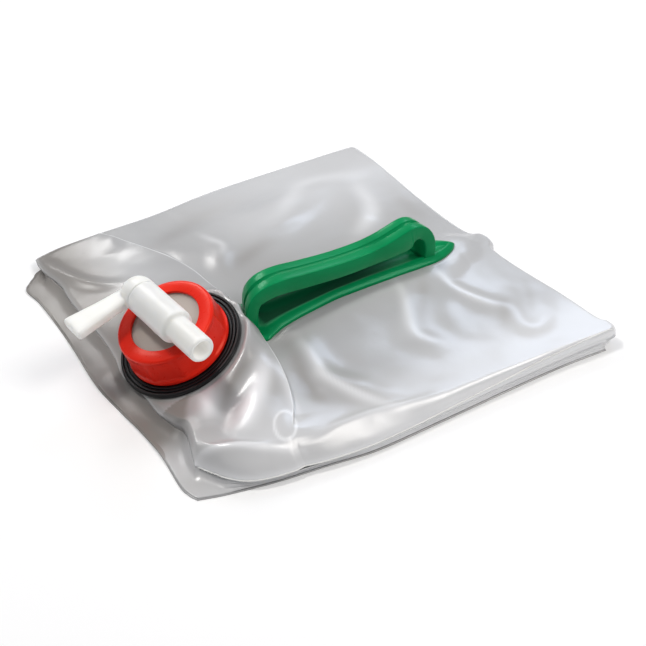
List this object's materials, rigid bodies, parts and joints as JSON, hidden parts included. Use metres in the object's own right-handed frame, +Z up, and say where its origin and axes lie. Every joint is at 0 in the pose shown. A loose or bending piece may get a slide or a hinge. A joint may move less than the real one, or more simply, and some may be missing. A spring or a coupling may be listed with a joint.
{
  "type": "collapsible water carrier",
  "caption": "Collapsible water carrier folded flat: clear film bag with pleated walls, a screw neck, a barrel tap with a lever, and a moulded carry handle.",
  "frame": {"origin": "middle of the folded bag's underside, on the surface that it lies on", "axes": "+X from the tap end along the handle, +Y away from the side that the nozzle points to, +Z up"},
  "size_m": [0.2696, 0.2438, 0.0577],
  "materials": {
    "clear_film": "glossy soft translucent film",
    "black_moulding": "glossy moulded",
    "washer_rubber": "matt",
    "red_moulding": "satin gloss moulded",
    "natural_moulding": "satin waxy moulded",
    "green_moulding": "soft satin gloss moulded"
  },
  "bodies": {
    "bag_base": {"bottom_panel": "clear_film", "front_gusset": "clear_film", "back_gusset": "clear_film", "far_end_gusset": "clear_film", "neck_end_gusset": "clear_film"},
    "bag_top": {"top_panel": "clear_film", "neck_fitting": "black_moulding", "carry_handle": "green_moulding"},
    "cap_washer": {"sealing_washer": "washer_rubber"},
    "cap_collar": {"screw_collar": "red_moulding"},
    "tap": {"tap_body": "natural_moulding"},
    "plug": {"tap_plug": "natural_moulding"}
  },
  "joints": [
    {"name": "bag_fill", "type": "slide", "parent": "bag_base", "child": "bag_top", "axis": [0, 0, 1], "range_m": [0, 0.18], "deforming": ["front_gusset", "back_gusset", "far_end_gusset", "neck_end_gusset"]},
    {"name": "cap_rise", "type": "slide", "parent": "bag_top", "child": "cap_washer", "axis": [-0.3742, 0.0163, 0.9272], "range_m": [0, 0.007]},
    {"name": "cap_unscrew", "type": "hinge", "parent": "cap_washer", "child": "cap_collar", "pos_m": [-0.083, -0.013, 0.0196], "axis": [-0.3742, 0.0163, 0.9272], "range_deg": [0, 629]},
    {"name": "tap_swivel", "type": "hinge", "parent": "cap_washer", "child": "tap", "pos_m": [-0.083, -0.013, 0.0196], "axis": [-0.3742, 0.0163, 0.9272], "continuous": true},
    {"name": "lever_turn", "type": "hinge", "parent": "tap", "child": "plug", "pos_m": [-0.09423, -0.01251, 0.04742], "axis": [-0.0696, 0.9965, -0.0457], "range_deg": [0, 90]}
  ],
  "couplings": [
    {"joint": "cap_rise", "follows": "cap_unscrew", "m_per_rad": 0.00063662}
  ]
}
